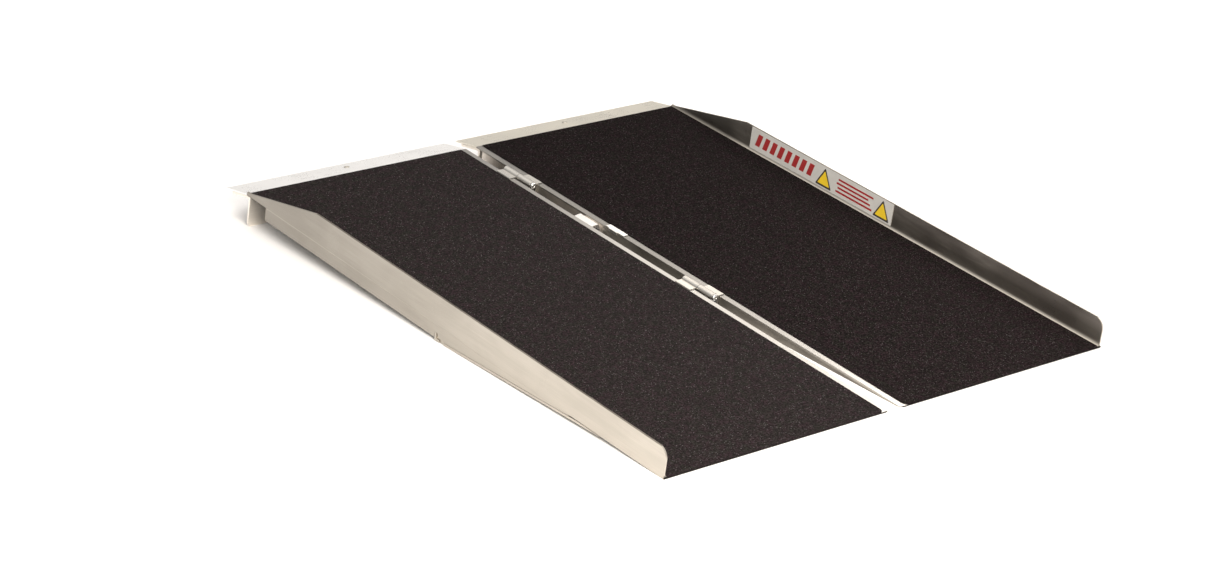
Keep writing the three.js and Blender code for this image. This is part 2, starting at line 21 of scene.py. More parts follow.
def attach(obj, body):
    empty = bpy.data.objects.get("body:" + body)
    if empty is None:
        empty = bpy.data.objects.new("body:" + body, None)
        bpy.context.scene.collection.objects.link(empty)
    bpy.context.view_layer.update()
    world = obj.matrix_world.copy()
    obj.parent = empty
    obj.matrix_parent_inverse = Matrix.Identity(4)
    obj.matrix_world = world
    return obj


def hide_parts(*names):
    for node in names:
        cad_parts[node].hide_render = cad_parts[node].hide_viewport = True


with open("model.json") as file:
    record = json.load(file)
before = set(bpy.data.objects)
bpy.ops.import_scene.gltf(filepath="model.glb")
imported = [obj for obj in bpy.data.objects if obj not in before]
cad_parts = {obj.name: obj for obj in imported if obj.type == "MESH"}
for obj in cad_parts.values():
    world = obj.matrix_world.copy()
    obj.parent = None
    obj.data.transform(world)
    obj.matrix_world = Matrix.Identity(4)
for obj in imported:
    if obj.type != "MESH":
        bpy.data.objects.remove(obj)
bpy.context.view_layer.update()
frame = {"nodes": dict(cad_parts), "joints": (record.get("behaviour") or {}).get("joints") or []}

MM = 0.001
SIDES = {"left": -1, "right": 1}
LIP_ANGLE = math.radians(12.5)

# ---- the ramp's own frame --------------------------------------------------------------------------

FOLD = frame["joints"][0]


def ramp_to_frame():
    """The matrix from the ramp's own millimetres to the frame. The fold axis lies on the deck's top."""
    along = -Vector(FOLD["axis"]).normalized()
    across = Vector((1, 0, 0))
    out = across.cross(along)
    turn = Matrix((across, along, out)).transposed().to_4x4()
    start = Vector(FOLD["pos_m"])
    low_edge = min((v.co - start) @ along for v in frame["nodes"]["left_deck_panel"].data.vertices)
    return Matrix.Translation(start + along * low_edge) @ turn @ Matrix.Scale(MM, 4)


RAMP = ramp_to_frame()
TILT = RAMP.to_euler().x


def span(node, turn=Matrix.Identity(4)):
    """Lowest and highest corner of a CAD node in the ramp's frame, or in that frame turned by a matrix."""
    to_local = (RAMP @ turn).inverted()
    points = [to_local @ v.co for v in frame["nodes"][node].data.vertices]
    low = Vector([min(p[i] for p in points) for i in range(3)])
    high = Vector([max(p[i] for p in points) for i in range(3)])
    return low, high


DECK_LOW, DECK_HIGH = span("right_deck_panel")
WEB_FACE = DECK_LOW.x  # from the fold line to the face of a web that looks at the gap
OUTER_SIDE = DECK_HIGH.x  # and to the outside of a curb
CURB_TOP = DECK_HIGH.z
LANDING_SHADE_END = 860  # where painted shade that changes towards the landing has changed in full

# ---- material building blocks ----------------------------------------------------------------------


class Shader:
    """A material's node tree, with short calls for the nodes used here."""

    def __init__(self, name):
        self.material = bpy.data.materials.new(name)
        self.material.use_nodes = True
        self.tree = self.material.node_tree
        self.surface = self.tree.nodes["Principled BSDF"]
        self.place = self.tree.nodes.new("ShaderNodeTexCoord").outputs["Object"]

    def put(self, socket, value):
        """Links a socket to another one, or sets it to a number or to a colour, which is a tuple."""
        if isinstance(value, bpy.types.NodeSocket):
            self.tree.links.new(value, socket)
        else:
            socket.default_value = (*value, 1) if isinstance(value, tuple) else value

    def set(self, name, value):
        self.put(self.surface.inputs[name], value)

    def coords(self, size, turn=0.0):
        """Object coordinates with the ramp's tilt taken out, divided by a size in metres along each axis."""
        node = self.tree.nodes.new("ShaderNodeMapping")
        node.vector_type = "TEXTURE"
        node.inputs["Rotation"].default_value = (TILT, 0, turn)
        node.inputs["Scale"].default_value = size
        self.put(node.inputs["Vector"], self.place)
        return node.outputs["Vector"]

    def ramp_place(self):
        """Distances across, along and above the deck from the low end of the fold line, in millimetres."""
        node = self.tree.nodes.new("ShaderNodeMapping")
        node.vector_type = "TEXTURE"
        node.inputs["Location"].default_value = RAMP.translation
        node.inputs["Rotation"].default_value = (TILT, 0, 0)
        node.inputs["Scale"].default_value = (MM, MM, MM)
        self.put(node.inputs["Vector"], self.place)
        split = self.tree.nodes.new("ShaderNodeSeparateXYZ")
        self.put(split.inputs[0], node.outputs["Vector"])
        return split.outputs

    def noise(self, size, detail=2.0, turn=0.0, distortion=0.0):
        node = self.tree.nodes.new("ShaderNodeTexNoise")
        node.inputs["Scale"].default_value = 1.0
        node.inputs["Detail"].default_value = detail
        node.inputs["Distortion"].default_value = distortion
        self.put(node.inputs["Vector"], self.coords(size, turn))
        return node.outputs["Fac"]

    def cells(self, size, output="Color"):
        node = self.tree.nodes.new("ShaderNodeTexVoronoi")
        node.inputs["Scale"].default_value = 1.0
        self.put(node.inputs["Vector"], self.coords(size))
        return node.outputs[output]

    def math(self, operation, first, second=0.0, clamp=False):
        node = self.tree.nodes.new("ShaderNodeMath")
        node.operation = operation
        node.use_clamp = clamp
        self.put(node.inputs[0], first)
        self.put(node.inputs[1], second)
        return node.outputs[0]

    def fit(self, value, low, high, to_low=0.0, to_high=1.0, smooth=False):
        """Takes a range of values to another range, clamped."""
        node = self.tree.nodes.new("ShaderNodeMapRange")
        node.interpolation_type = "SMOOTHSTEP" if smooth else "LINEAR"
        for socket, number in zip(node.inputs, (value, low, high, to_low, to_high)):
            self.put(socket, number)
        return node.outputs[0]

    def both(self, first, *others):
        """The product of masks."""
        for other in others:
            first = self.math("MULTIPLY", first, other)
        return first

    def mix(self, share, first, second):
        """A blend of two colours. The node has sockets for other kinds of value before its colour ones."""
        node = self.tree.nodes.new("ShaderNodeMix")
        node.data_type = "RGBA"
        self.put(node.inputs["Factor"], share)
        self.put(node.inputs[6], first)
        self.put(node.inputs[7], second)
        return node.outputs[2]

    def bump(self, height, depth, below=None):
        """A bump of the given depth, in metres, for a height from 0 to 1."""
        node = self.tree.nodes.new("ShaderNodeBump")
        node.inputs["Distance"].default_value = depth
        self.put(node.inputs["Height"], height)
        if below is not None:
            self.put(node.inputs["Normal"], below)
        return node.outputs["Normal"]

    def hairlines(self, width, length, turn, share):
        """Thin straight streaks, 1 on a streak and 0 off it, for scratches."""
        streaks = self.noise((width, length, width), detail=0.0, turn=turn)
        return self.fit(streaks, share, share + 0.06)


def gap_shade_and_curb_top(shader):
    """Painted shade on the webs in the gap, and a darker band along the cut top of the curbs, from 0 to 1.

    The right web gets less painted shade towards the landing, to stand for light reflected onto it there.
    """
    across, along, above = shader.ramp_place()
    away = shader.math("ABSOLUTE", across)
    web = shader.both(shader.fit(away, WEB_FACE + 3.5, WEB_FACE + 0.5), shader.fit(above, -0.6, -4))
    less_shade_near_landing = shader.both(shader.fit(across, -2, 2), shader.fit(along, 100, 600, 0.05, 1.0))
    web = shader.both(web, shader.math("SUBTRACT", 1.0, less_shade_near_landing))
    curb_top = shader.fit(above, CURB_TOP - 0.9, CURB_TOP - 0.3)
    patchy = shader.fit(shader.noise((0.01, 0.03, 0.01), detail=3.0), 0.3, 0.7, 0.75, 1.0)
    return shader.both(shader.math("MAXIMUM", web, curb_top), patchy)


def painted_low_edge_shade(shader):
    """Painted shade that makes the low edge near black, from 0 to 1."""
    _, along, above = shader.ramp_place()
    return shader.both(shader.fit(along, 1.7, 1.1), shader.fit(above, 2.2, 1.2))


def painted_shade_places(shader):
    """Painted shade on the sheets, from 0 to 1.

    The left outer side and both halves' edges at the fold are painted darker towards the landing, and so is
    the inside of the right curb, where they reflect darker surroundings.
    """
    across, along, above = shader.ramp_place()
    outer = shader.fit(across, 1.8 - OUTER_SIDE, 1.3 - OUTER_SIDE)
    places = [
        shader.both(outer, shader.fit(along, 300, LANDING_SHADE_END, 0.0, 0.42)),
        shader.both(outer, shader.fit(above, -3, -5, 0.0, 0.03)),
        shader.both(strip_at_fold(shader, across), shader.fit(along, 80, 480, 0.0, 0.48)),
        shader.both(
            strip_at_fold(shader, shader.math("MULTIPLY", across, -1.0)),
            shader.fit(along, 500, 660, 0.0, 0.35),
        ),
        shader.both(inside_right_curb(shader, across), shader.fit(along, 700, 740, 0.0, 0.5)),
    ]
    total = places[0]
    for place in places[1:]:
        total = shader.math("ADD", total, place)
    uneven = shader.fit(shader.noise((0.04, 0.25, 0.04), detail=2.0), 0.3, 0.7, 0.93, 1.07)
    return shader.both(total, uneven)


def strip_at_fold(shader, across):
    """The first few centimetres of a half, from its web outwards."""
    return shader.both(shader.fit(across, WEB_FACE - 3, WEB_FACE + 0.5), shader.fit(across, 50, 40))


def inside_right_curb(shader, across):
    return shader.fit(across, OUTER_SIDE - 7, OUTER_SIDE - 4)


def fold_edges(shader):
    """The bare strips of deck between the tapes and the gap, from 0 to 1."""
    across, _, above = shader.ramp_place()
    away = shader.math("ABSOLUTE", across)
    strip = shader.both(shader.fit(away, WEB_FACE - 0.5, WEB_FACE + 0.5), shader.fit(away, 40, 30))
    return shader.both(strip, shader.fit(above, -1.5, -0.5))


def painted_highlight_places(shader):
    """Painted highlight, from 0 to 1, on the upper part of the right curb's inner face and on the right web
    near the landing.
    """
    across, along, above = shader.ramp_place()
    web = shader.both(
        shader.fit(across, WEB_FACE - 3, WEB_FACE - 0.5),
        shader.fit(across, WEB_FACE + 3.5, WEB_FACE + 1.5),
        shader.fit(above, -0.6, -3),
        shader.fit(along, 500, 620),
    )
    curb = shader.both(
        inside_right_curb(shader, across),
        shader.fit(above, 18, 30, 0.1, 1.0),
        shader.fit(along, 600, 700, 0.8, 0.0),
    )
    return shader.math("MAXIMUM", web, curb)


def worn_metal(name, colour, dark, roughness, grain, wear=1.0, deck_marks_and_painted_light=False, metallic=1.0):
    """Rolled sheet or plated metal: fine grain along one way, soft rolling bands, smudges and scratches.

    grain is the grain's feature size in metres along x, y and z. When asked for the deck's marks, it adds
    the bare strips at the fold, a darker cut top of the curbs, painted shade and painted highlights.
    """
    shader = Shader(name)
    fine = shader.noise(grain, detail=3.0)
    bands = shader.noise([14 * g for g in grain], detail=1.0)
    smudges = shader.noise((0.05, 0.09, 0.05), detail=4.0, distortion=0.6)
    patches = shader.fit(smudges, 0.35, 0.7, smooth=True)
    scratched = shader.fit(shader.noise((0.05, 0.07, 0.05), detail=0.0), 0.5, 0.62, smooth=True)
    steep = shader.hairlines(0.0006, 0.05, 0.35, 0.72)
    flat = shader.hairlines(0.0006, 0.03, -0.8, 0.74)
    scratches = shader.both(scratched, shader.math("MAXIMUM", steep, flat))

    bright = tuple(min(1.0, 1.1 * c) for c in colour)
    shade = shader.mix(shader.fit(fine, 0.3, 0.7, 0.0, 0.5), colour, dark)
    shade = shader.mix(shader.fit(bands, 0.35, 0.65, 0.0, 0.35), shade, dark)
    shade = shader.mix(shader.both(patches, 0.35 * wear), shade, dark)
    shade = shader.mix(shader.both(scratches, 0.4 * wear), shade, bright)
    rough = shader.fit(fine, 0.3, 0.7, roughness - 0.06, roughness + 0.07)
    rough = shader.math("ADD", rough, shader.both(patches, 0.09 * wear))
    rough = shader.math("SUBTRACT", rough, shader.both(scratches, 0.12 * wear), clamp=True)
    if deck_marks_and_painted_light:
        gap_shade_and_curb_top_mask = gap_shade_and_curb_top(shader)
        shade = shader.mix(shader.both(fold_edges(shader), 0.9), shade, FOLD_EDGE)
        # Painted shade: the left outer side, the fold edges and the right curb's inside darker towards the
        # landing.
        shade = shader.mix(painted_shade_places(shader), shade, PAINTED_SHADE_COLOUR)
        # Painted highlight on the right curb's upper inside and on the right web near the landing.
        shade = shader.mix(painted_highlight_places(shader), shade, PAINTED_HIGHLIGHT_COLOUR)
        # Painted shade in the gap between the halves, and a darker cut top of the curbs.
        shade = shader.mix(shader.both(gap_shade_and_curb_top_mask, 0.9), shade, GAP_SHADE_AND_CURB_TOP_COLOUR)
        # Painted shade: the low edge near black.
        shade = shader.mix(painted_low_edge_shade(shader), shade, LOW_EDGE_SHADE_COLOUR)
        rough = shader.math("ADD", rough, shader.both(gap_shade_and_curb_top_mask, 0.25), clamp=True)
    shader.set("Base Color", shade)
    shader.set("Roughness", rough)
    shader.set("Metallic", metallic)

    grain_bump = shader.bump(fine, 0.000012)
    dents = shader.noise((0.07, 0.11, 0.07), detail=1.0)
    dent_bump = shader.bump(dents, 0.0003, grain_bump)
    shader.set("Normal", shader.bump(shader.math("SUBTRACT", 1.0, scratches), 0.00001, dent_bump))
    return shader.material


def grit(name, shine, tape_shade_range):
    """Mineral grit in dark resin: clumped grains, some of them tinted, a few that glint.

    The last argument is how much painted shade darkens the tape, from 0 to 1, at its low end and at its
    landing end.
    """
    shader = Shader(name)
    split = shader.tree.nodes.new("ShaderNodeSeparateColor")
    shader.put(split.inputs[0], shader.cells(GRAIN))
    pick, tint, glint = split.outputs
    distance = shader.cells(GRAIN, output="Distance")
    clumps = shader.noise(CLUMP, detail=1.0)
    mottle = shader.noise(MOTTLE, detail=3.0)
    stain = shader.noise(STAIN, detail=2.0)
    spark = shader.fit(glint, 0.986, 0.993)
    _, along, _ = shader.ramp_place()

    shade = shader.mix(shader.fit(pick, 0.1, 0.9), DARK_GRAIN, PALE_GRAIN)
    shade = shader.mix(shader.fit(tint, 0.84, 0.88, 0.0, 0.6), shade, PURPLE_GRAIN)
    shade = shader.mix(shader.fit(tint, 0.16, 0.12, 0.0, 0.6), shade, GREEN_GRAIN)
    shade = shader.mix(shader.fit(stain, 0.5, 0.62, 0.0, 0.5), shade, PURPLE_STAIN)
    shade = shader.mix(shader.fit(stain, 0.46, 0.34, 0.0, 0.5), shade, GREEN_STAIN)
    shade = shader.mix(shader.fit(clumps, 0.4, 0.6, 0.0, 0.92), shade, RESIN)
    shade = shader.mix(shader.fit(mottle, 0.38, 0.62, 0.0, 0.35), shade, DARK_PATCH)
    shade = shader.mix(shader.both(spark, 0.7), shade, GLINT)
    # Painted shade: the tape darkens towards the landing.
    shade = shader.mix(shader.fit(along, 0, LANDING_SHADE_END, *tape_shade_range), shade, TAPE_SHADE_COLOUR)
    shader.set("Base Color", shade)
    shader.set("Roughness", shader.fit(spark, 0.0, 1.0, 0.9, 0.45))
    shader.set("Specular IOR Level", shine)
    height = shader.math("ADD", shader.math("SUBTRACT", 1.0, distance), pick)
    shader.set("Normal", shader.bump(height, 0.0003))
    return shader.material


def printed(name, colour, roughness=0.42):
    """Vinyl label stock or ink: even colour with a little ageing, dust and an uneven gloss."""
    shader = Shader(name)
    age = shader.noise((0.02, 0.03, 0.02), detail=4.0)
    dust = shader.noise(EVEN, detail=2.0)
    darker = tuple(0.86 * c for c in colour)
    shade = shader.mix(shader.fit(age, 0.35, 0.7, 0.0, 0.8), colour, darker)
    shade = shader.mix(shader.fit(dust, 0.62, 0.75, 0.0, 0.3), shade, DUST)
    shader.set("Base Color", shade)
    shader.set("Roughness", shader.fit(age, 0.3, 0.7, roughness - 0.06, roughness + 0.1))
    shader.set("Normal", shader.bump(dust, 0.00001))
    return shader.material


# Feature sizes in metres along x, y and z: the grain of metal, then the structure of the grit.

FINE = 0.0006
LONG = 0.07
LENGTHWISE = (FINE, LONG, FINE)
CROSSWISE = (LONG, FINE, FINE)
EVEN = (0.0012, 0.0012, 0.0012)
GRAIN = (0.0008, 0.0008, 0.0008)
CLUMP = (0.0026, 0.0026, 0.0026)
MOTTLE = (0.009, 0.009, 0.009)
STAIN = (0.013, 0.013, 0.013)

DARK_GRAIN = (0.0097, 0.0075, 0.0081)
PALE_GRAIN = (0.039, 0.0316, 0.0333)
PURPLE_GRAIN = (0.051, 0.0195, 0.0315)
GREEN_GRAIN = (0.027, 0.0375, 0.022)
PURPLE_STAIN = (0.033, 0.0165, 0.0235)
GREEN_STAIN = (0.0185, 0.0215, 0.0155)
RESIN = (0.0045, 0.0036, 0.0037)
DARK_PATCH = (0.006, 0.0046, 0.0048)
GLINT = (0.17, 0.155, 0.165)
# Painted shade for the tapes.
TAPE_SHADE_COLOUR = (0.003, 0.0024, 0.0025)

DUST = (0.3, 0.3, 0.3)
# Painted shade in the gap, also used to darken the cut top of the curbs.
GAP_SHADE_AND_CURB_TOP_COLOUR = (0.09, 0.08, 0.07)
# Painted shade for reflections that grow dimmer towards the landing.
PAINTED_SHADE_COLOUR = (0.05, 0.045, 0.04)
# Painted shade for the low edge.
LOW_EDGE_SHADE_COLOUR = (0.012, 0.011, 0.010)
# Painted highlight.
PAINTED_HIGHLIGHT_COLOUR = (0.88, 0.82, 0.76)
FOLD_EDGE = (0.49, 0.48, 0.468)
MILL_COLOUR = (0.505, 0.472, 0.422)
MILL_DARK = (0.415, 0.386, 0.341)

# The deck and rail metals carry painted shade and painted highlights.
DECK_MILL = worn_metal("mill_aluminium_deck", MILL_COLOUR, MILL_DARK, 0.36, LENGTHWISE, deck_marks_and_painted_light=True)
RAIL_MILL = worn_metal("mill_aluminium_rail", MILL_COLOUR, MILL_DARK, 0.36, LENGTHWISE, deck_marks_and_painted_light=True)
MILL = worn_metal("mill_aluminium", MILL_COLOUR, MILL_DARK, 0.36, LENGTHWISE)
CROSS_MILL = worn_metal("mill_aluminium_cross", MILL_COLOUR, MILL_DARK, 0.36, CROSSWISE)
BRIGHT = worn_metal("bright_aluminium", (0.90, 0.89, 0.875), (0.80, 0.785, 0.765), 0.27, CROSSWISE)
# Lit and shaded copies for the lips: the left lip's metal is painted lighter and the right lip's darker and
# warmer, for the light that falls on them.
LIT_LEFT_LIP = worn_metal("left_lip_aluminium_painted_light", (0.89, 0.895, 0.905), (0.84, 0.85, 0.865), 0.3, CROSSWISE, metallic=0.5)
SHADED_RIGHT_LIP = worn_metal("right_lip_aluminium_painted_shade", (0.79, 0.76, 0.68), (0.72, 0.69, 0.61), 0.3, CROSSWISE, metallic=0.75)
# Painted light: the risers' faces lie in the deck's shade and are painted much lighter to look lit.
LIT_RISER = worn_metal("riser_aluminium_painted_light", (0.92, 0.87, 0.8), (0.8, 0.75, 0.68), 0.4, CROSSWISE, metallic=0.8)
HINGE = worn_metal("hinge_aluminium", (0.66, 0.645, 0.61), (0.5, 0.48, 0.45), 0.28, LENGTHWISE)
RIVET = worn_metal("rivet_aluminium", (0.74, 0.72, 0.69), (0.56, 0.54, 0.51), 0.3, EVEN, wear=0.5)
DULL_RIVET = worn_metal("dull_rivet_aluminium", (0.5, 0.485, 0.45), (0.36, 0.35, 0.32), 0.55, EVEN)
ZINC = worn_metal("zinc_steel", (0.80, 0.80, 0.80), (0.58, 0.58, 0.57), 0.22, EVEN, wear=0.6)
WELD = worn_metal("weld_aluminium", (0.62, 0.61, 0.58), (0.42, 0.41, 0.39), 0.38, EVEN, wear=0.4)
# The right tape gets more painted shade than the left.
GRIT = {"left": grit("grit_left", 0.08, (0.0, 0.1)), "right": grit("grit_right", 0.02, (0.16, 0.45))}
VINYL = printed("label_vinyl", (0.56, 0.555, 0.54))
RED = printed("label_red", (0.33, 0.024, 0.026))
YELLOW = printed("label_yellow", (0.80, 0.56, 0.03))
BLACK = printed("label_black", (0.035, 0.03, 0.03))

# ---- CAD sheet parts keep their shape --------------------------------------------------------------

HALF_FINISH = {  # parts that both halves have
    "deck_panel": DECK_MILL,
    "side_rail": RAIL_MILL,
    "taper_strip": MILL,
    "cross_member": CROSS_MILL,
    "rib": MILL,
    "riser": LIT_RISER,
}
NODE_FINISH = {
    "lower_hinge_left_knuckle": HINGE,
    "lower_hinge_right_knuckle": HINGE,
    "upper_hinge_left_knuckle": HINGE,
    "upper_hinge_right_knuckle": HINGE,
    "stop_bracket": BRIGHT,
    "edge_pad": BRIGHT,
    "left_lip_plate": LIT_LEFT_LIP,
    "right_lip_plate": SHADED_RIGHT_LIP,
}
EDGE_EASING = 0.35 * MM
SHARP = math.radians(30)


def finish_sheet(node, material):
    """Gives a CAD node its finish, eased edges and smooth bends, without touching its mesh."""
    sheet = frame["nodes"][node]
    sheet.data.materials.clear()
    sheet.data.materials.append(material)
    for face in sheet.data.polygons:
        face.use_smooth = True
    flats = sheet.modifiers.new("flats", "DECIMATE")
    flats.decimate_type = "DISSOLVE"
    flats.angle_limit = math.radians(0.5)
    edges = sheet.modifiers.new("edges", "BEVEL")
    edges.width = EDGE_EASING
    edges.segments = 2
    edges.limit_method = "ANGLE"
    edges.angle_limit = SHARP
    edges.use_clamp_overlap = True
    normals = sheet.modifiers.new("normals", "WEIGHTED_NORMAL")
    normals.keep_sharp = True


for word in SIDES:
    for part, finish in HALF_FINISH.items():
        finish_sheet(f"{word}_{part}", finish)
for node, finish in NODE_FINISH.items():
    finish_sheet(node, finish)

# ---- new pieces ------------------------------------------------------------------------------------


def add_piece(name, bm, materials, body, replaced=()):
    """Turns a bmesh drawn in the ramp's frame into a piece that rides on a body."""
    bmesh.ops.remove_doubles(bm, verts=bm.verts, dist=0.001)
    bmesh.ops.recalc_face_normals(bm, faces=bm.faces)
    bm.transform(RAMP)
    mesh = bpy.data.meshes.new(name)
    bm.to_mesh(mesh)
    bm.free()
    for material in materials:
        mesh.materials.append(material)
    piece = bpy.data.objects.new(name, mesh)
    bpy.context.scene.collection.objects.link(piece)
    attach(piece, body)
    if replaced:
        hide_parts(*replaced)
    return piece


def smooth(piece, sharp=SHARP):
    """Smooth shading, broken at edges sharper than an angle."""
    bm = bmesh.new()
    bm.from_mesh(piece.data)
    for face in bm.faces:
        face.smooth = True
    for edge in bm.edges:
        edge.smooth = len(edge.link_faces) == 2 and edge.calc_face_angle(math.pi) < sharp
    bm.to_mesh(piece.data)
    bm.free()


def bridge(bm, rings):
    """Joins rings of vertices by faces, and returns the faces. A ring of one vertex is a tip."""
    steps = max(len(ring) for ring in rings)
    faces = []
    for one, two in zip(rings, rings[1:]):
        for step in range(steps):
            after = (step + 1) % steps
            near = [one[step % len(one)], one[after % len(one)]]
            far = [two[after % len(two)], two[step % len(two)]]
            corners = list(dict.fromkeys(near + far))
            if len(corners) > 2:
                faces.append(bm.faces.new(corners))
    return faces


def turned(bm, profile, place, steps=40, ripple=None):
    """Adds a round body on the y axis of a place. Profile points are (radius, distance along the axis).

    A ripple takes the radius and the angle, and gives the radius to use instead.
    """
    rings = []
    for radius, distance in profile:
        if radius == 0:
            rings.append([bm.verts.new(place @ Vector((0, distance, 0)))])
            continue
        ring = []
        for step in range(steps):
            angle = 2 * math.pi * step / steps
            reach = ripple(radius, angle) if ripple else radius
            spot = Vector((reach * math.cos(angle), distance, reach * math.sin(angle)))
            ring.append(bm.verts.new(place @ spot))
        rings.append(ring)
    bridge(bm, rings)


def quarter_turn(steps):
    """Angles from 0 to 90 degrees in even steps."""
    return [math.pi / 2 * i / steps for i in range(steps + 1)]


def half_arc(radius, height, base, direction):
    """Points of a dome from its rim to its top."""
    return [(radius * math.cos(a), base + direction * height * math.sin(a)) for a in quarter_turn(6)]


# The tape: a sheet of grit with rounded corners, whose surface rises and falls with the grain.

TAPE_THICKNESS = 0.6
TAPE_CORNER = 9.0  # beside the fold at the low end
TAPE_SMALL_CORNER = 2.5  # the other three corners
TAPE_STEP = 3.0
TAPE_ROLL = 0.35  # how far the edges are rounded off
TAPE_GRAIN = 0.16  # how deep the surface dips
CURB_BEND_START = 373.0  # where a deck starts to bend up into its curb
CURB_BEND_RADIUS = 6.0


def above_deck(x, height):
    """Where a face that lies this far above the deck is, at a distance from the fold line."""
    into_bend = max(0.0, x - CURB_BEND_START)
    radius = CURB_BEND_RADIUS - height
    return CURB_BEND_RADIUS - math.sqrt(radius**2 - into_bend**2)


def stops(low, high, low_corner, high_corner):
    """Places across a strip: close together in the rounded corners, then evenly spaced."""
    arc = quarter_turn(6)
    start = [low + low_corner * (1 - math.cos(a)) for a in arc]
    end = [high - high_corner * (1 - math.cos(a)) for a in reversed(arc)]
    count = round((end[0] - start[-1]) / TAPE_STEP)
    even = [start[-1] + (end[0] - start[-1]) * i / count for i in range(1, count)]
    return start + even + end


def corner_cut(distance, corner):
    """How far a rounded corner sets the end of a column back, at a distance from the strip's edge."""
    if distance >= corner:
        return 0.0
    return corner - math.sqrt(corner**2 - (corner - distance) ** 2)


def grit_tape(word):
    """Replaces a CAD tape by a sheet that follows the curb's bend."""
    side = SIDES[word]
    node = f"{word}_grit_tape"
    low, high = span(node)
    inner, outer = sorted((abs(low.x), abs(high.x)))
    upper = low.z + TAPE_THICKNESS
    grain = random.Random(5 + side)
    bm = bmesh.new()
    columns = []
    for x in stops(inner, outer, TAPE_CORNER, TAPE_SMALL_CORNER):
        low_cut = corner_cut(x - inner, TAPE_CORNER) or corner_cut(outer - x, TAPE_SMALL_CORNER)
        high_cut = corner_cut(x - inner, TAPE_SMALL_CORNER) or corner_cut(outer - x, TAPE_SMALL_CORNER)
        bottom = low.y + low_cut
        top = high.y - high_cut
        count = round((high.y - low.y) / TAPE_STEP)
        rows = [bottom + (top - bottom) * i / count for i in range(count + 1)]
        rows[1:1] = [bottom + TAPE_ROLL]
        rows[-1:-1] = [top - TAPE_ROLL]
        rim = x in (inner, outer)
        column = []
        for i, y in enumerate(rows):
            on_edge = rim or i in (0, len(rows) - 1)
            drop = TAPE_ROLL if on_edge else TAPE_GRAIN * grain.random()
            column.append(bm.verts.new((side * x, y, above_deck(x, upper) - drop)))
        columns.append(column)
    for one, two in zip(columns, columns[1:]):
        for i in range(len(one) - 1):
            bm.faces.new((one[i], two[i], two[i + 1], one[i + 1]))
    rim = (
        columns[0]
        + [column[-1] for column in columns[1:-1]]
        + columns[-1][::-1]
        + [column[0] for column in columns[-2:0:-1]]
    )
    foot = [bm.verts.new((v.co.x, v.co.y, above_deck(abs(v.co.x), low.z))) for v in rim]
    bridge(bm, [rim, foot])
    bm.faces.new(foot)
    piece = add_piece(f"{word}_grit_surface", bm, [GRIT[word]], f"{word}_half", [node])
    smooth(piece, math.radians(50))


# The label: vinyl with a generic print of slanted bars, plain triangles and rules.

PRINT_RISE = 0.04
LABEL_CORNER = 1.5
LABEL_OVER_BEND = 1.8  # the vinyl's lower edge reaches over the start of the curb's bend

# Shares of the label's length from its high end, and of its depth from its lower edge.
BARS = {"count": 8, "start": 0.035, "pitch": 0.053, "width": 0.032, "slant": 0.018, "low": 0.22, "high": 0.8}
TRIANGLES = {"middles": (0.53, 0.93), "half": 0.056, "centre": 0.4, "below": 0.34, "above": 0.54}
TRIANGLE_FILL = 0.74  # size of the coloured field inside the black border
RULES = {"count": 4, "start": 0.615, "end": 0.865, "low": 0.16, "pitch": 0.185, "height": 0.09}


def flat_shape(bm, outline, face_x, thickness, material):
    """Adds a thin plate with an outline of (y, z) points on a face that looks towards the fold."""
    near = [bm.verts.new((face_x - thickness, y, z)) for y, z in outline]
    far = [bm.verts.new((face_x, y, z)) for y, z in outline]
    faces = [bm.faces.new(near), bm.faces.new(far[::-1])]
    for face in faces + bridge(bm, [near, far]):
        face.material_index = material


def rounded(points, radius):
    """An outline of (y, z) points with every corner rounded."""
    steps = 5
    result = []
    for i, corner in enumerate(points):
        corner = Vector(corner)
        before = (Vector(points[i - 1]) - corner).normalized()
        after = (Vector(points[(i + 1) % len(points)]) - corner).normalized()
        half = before.angle(after) / 2
        middle = corner + (before + after).normalized() * (radius / math.sin(half))
        start = corner + before * (radius / math.tan(half)) - middle
        end = corner + after * (radius / math.tan(half)) - middle
        turn = start.angle_signed(end)
        for step in range(steps + 1):
            spot = start.copy()
            spot.rotate(Matrix.Rotation(-turn * step / steps, 2))
            result.append(tuple(middle + spot))
    return result


